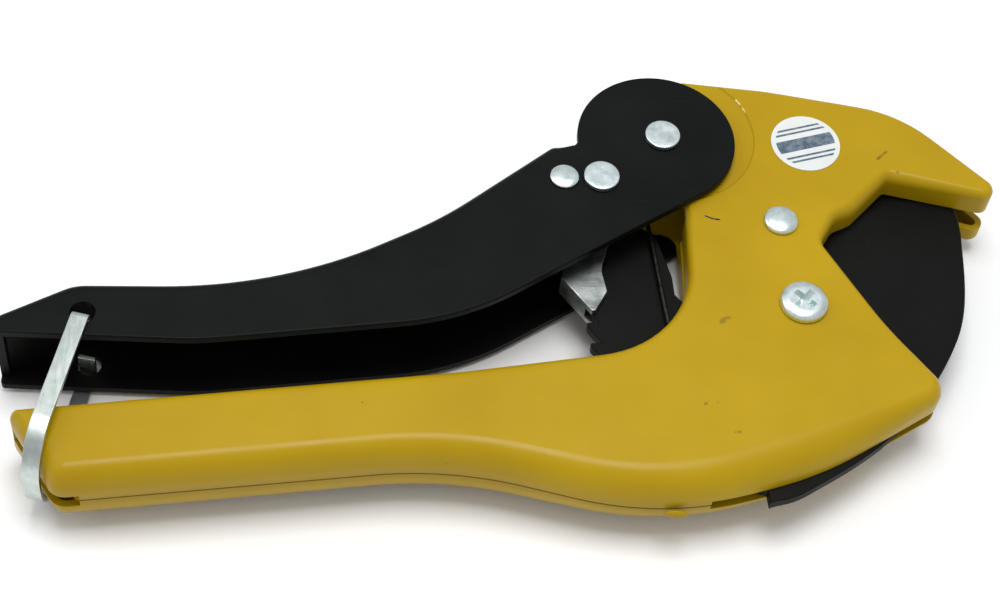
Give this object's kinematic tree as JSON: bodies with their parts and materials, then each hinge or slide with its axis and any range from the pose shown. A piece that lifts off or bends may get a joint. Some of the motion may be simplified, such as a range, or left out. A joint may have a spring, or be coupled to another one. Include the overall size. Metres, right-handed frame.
{
  "type": "ratchet plastic pipe cutter",
  "caption": "One-hand ratchet cutter for plastic pipe: pressed yellow body, curved blade, black channel lever with pawl, and a wire-strap latch holding the handles shut.",
  "frame": {"origin": "centre of the bounding box's bottom: the tool lies on its rear side, on the lower rivet heads", "axes": "+X from the handles to the jaws, +Y from the handle side up to the lever side, +Z through the tool's thickness from its rear side to its front side"},
  "size_m": [0.2192, 0.1146, 0.0246],
  "materials": {
    "yellow_enamel": "glossy warm yellow enamel, lightly scratched",
    "black_paint": "satin black paint",
    "blackened_steel": "matte black low-friction coating",
    "zinc_plate": "bright zinc plate, slightly mottled",
    "bright_steel": "bare steel, scratched",
    "spring_steel": "dark drawn spring wire",
    "label_print": "plain printed sticker, no lettering"
  },
  "bodies": {
    "body": {"front_shell": "yellow_enamel", "rear_shell": "yellow_enamel", "lever_pin": "zinc_plate", "lever_sleeve": "bright_steel", "pivot_washer_front": "bright_steel", "pivot_washer_rear": "bright_steel", "frame_rivet": "zinc_plate", "frame_spacer": "bright_steel", "blade_screw": "zinc_plate", "blade_nut": "zinc_plate", "blade_bush": "bright_steel", "blade_spacer_front": "bright_steel", "blade_spacer_rear": "bright_steel", "lever_spring": "spring_steel", "label": "label_print"},
    "blade": {"blade": "blackened_steel"},
    "lever": {"lever": "black_paint", "pawl_pin": "zinc_plate", "spring_pin": "zinc_plate", "pawl_spacer_front": "bright_steel", "pawl_spacer_rear": "bright_steel", "pawl_spring": "spring_steel"},
    "pawl": {"pawl": "bright_steel"},
    "latch": {"latch_strap": "zinc_plate"}
  },
  "joints": [
    {"name": "blade_pivot", "type": "hinge", "parent": "body", "child": "blade", "pos_m": [0.0626, -0.00565, 0.0123], "axis": [0, 0, -1], "range_deg": [0, 60]},
    {"name": "lever_pivot", "type": "hinge", "parent": "body", "child": "lever", "pos_m": [0.0331, 0.03725, 0.0123], "axis": [0, 0, -1], "range_deg": [0, 40], "deforming": ["lever_spring"]},
    {"name": "pawl_pivot", "type": "hinge", "parent": "lever", "child": "pawl", "pos_m": [0.0189, 0.02455, 0.0123], "axis": [0, 0, -1], "range_deg": [-52, 0], "deforming": ["pawl_spring"]},
    {"name": "latch_pivot", "type": "hinge", "parent": "lever", "child": "latch", "pos_m": [-0.0913, -0.01785, 0.0123], "axis": [0, 0, -1], "range_deg": [0, 95]}
  ],
  "couplings": [
    {"joint": "pawl_pivot", "follows": "lever_pivot", "ratio": -1.2775}
  ]
}
